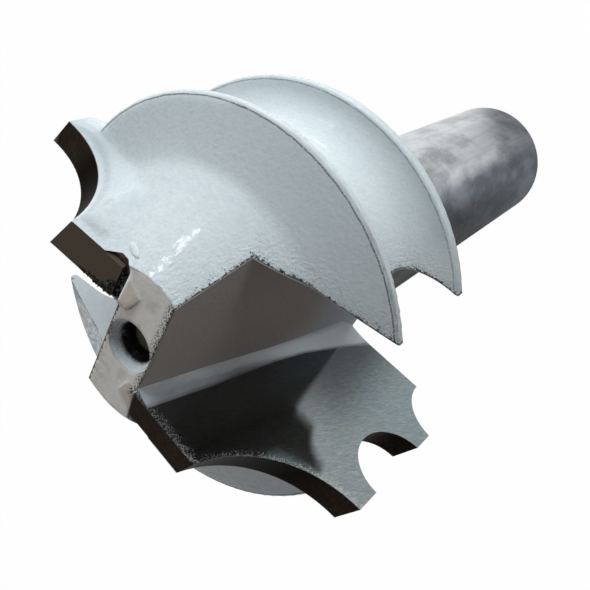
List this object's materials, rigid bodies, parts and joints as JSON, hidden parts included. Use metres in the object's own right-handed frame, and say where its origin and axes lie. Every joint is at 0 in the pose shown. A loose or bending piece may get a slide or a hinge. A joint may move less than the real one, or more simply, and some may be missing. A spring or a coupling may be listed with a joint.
{
  "type": "router bit",
  "caption": "Carbide-tipped moulding router bit with a plain round shank, finned painted head and brazed cutters for a cove and bead profile.",
  "frame": {"origin": "centre of the shank's end face, on which the bit stands", "axes": "+Z along the shank's axis towards the cutting tip, +X along the rake face of tip b, +Y the way that face looks"},
  "size_m": [0.0328, 0.029, 0.0589],
  "materials": {
    "painted_steel": "pale blue-white semi-gloss paint on the head, bare brushed steel on the shank",
    "carbide": "ground tungsten carbide, faces dark grey with fine grinding lines",
    "braze": "brazing metal overcoated with thin grey-blue paint"
  },
  "bodies": {
    "root": {"cutter_body": "painted_steel", "carbide_tip_a": "carbide", "carbide_tip_b": "carbide", "braze_seam_a": "braze", "braze_seam_b": "braze"}
  },
  "joints": []
}
